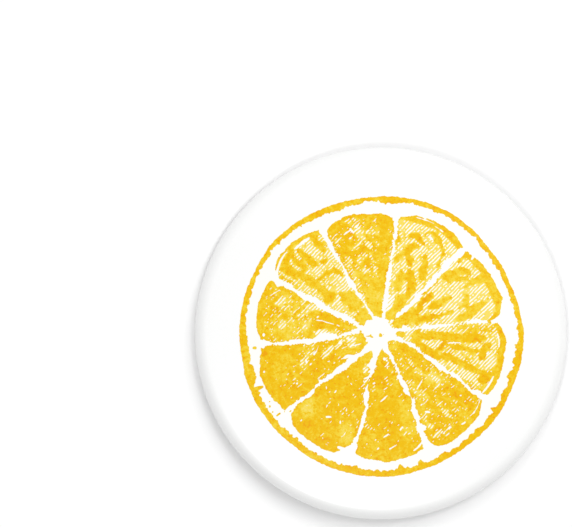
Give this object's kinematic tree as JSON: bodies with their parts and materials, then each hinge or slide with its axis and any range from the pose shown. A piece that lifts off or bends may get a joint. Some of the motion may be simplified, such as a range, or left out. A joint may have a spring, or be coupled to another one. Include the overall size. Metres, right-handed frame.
{
  "type": "round button magnet",
  "caption": "Round button magnet: a thin metal button in a white printed cover, domed on its face, with a flat magnetic disc set into its back to hold notes.",
  "frame": {"origin": "centre of the flat underside of the magnet disc, on which the part lies", "axes": "+Z out of the printed face, +Y to the top of the print, +X to its right"},
  "size_m": [0.0572, 0.0572, 0.0058],
  "materials": {
    "cover": "white paper under a clear satin film",
    "metal": "bare tin-plated steel, smooth, satin",
    "magnet": "dark grey flexible magnet, dull, very fine grain",
    "ink": "lemon yellow ink with uneven wash, under the cover's film"
  },
  "bodies": {
    "root": {"printed_cover": "cover", "metal_body": "metal", "magnet_disc": "magnet", "print_rind": "ink", "print_wedge_01": "ink", "print_wedge_02": "ink", "print_wedge_03": "ink", "print_wedge_04": "ink", "print_wedge_05": "ink", "print_wedge_06": "ink", "print_wedge_07": "ink", "print_wedge_08": "ink", "print_wedge_09": "ink", "print_wedge_10": "ink"}
  },
  "joints": []
}
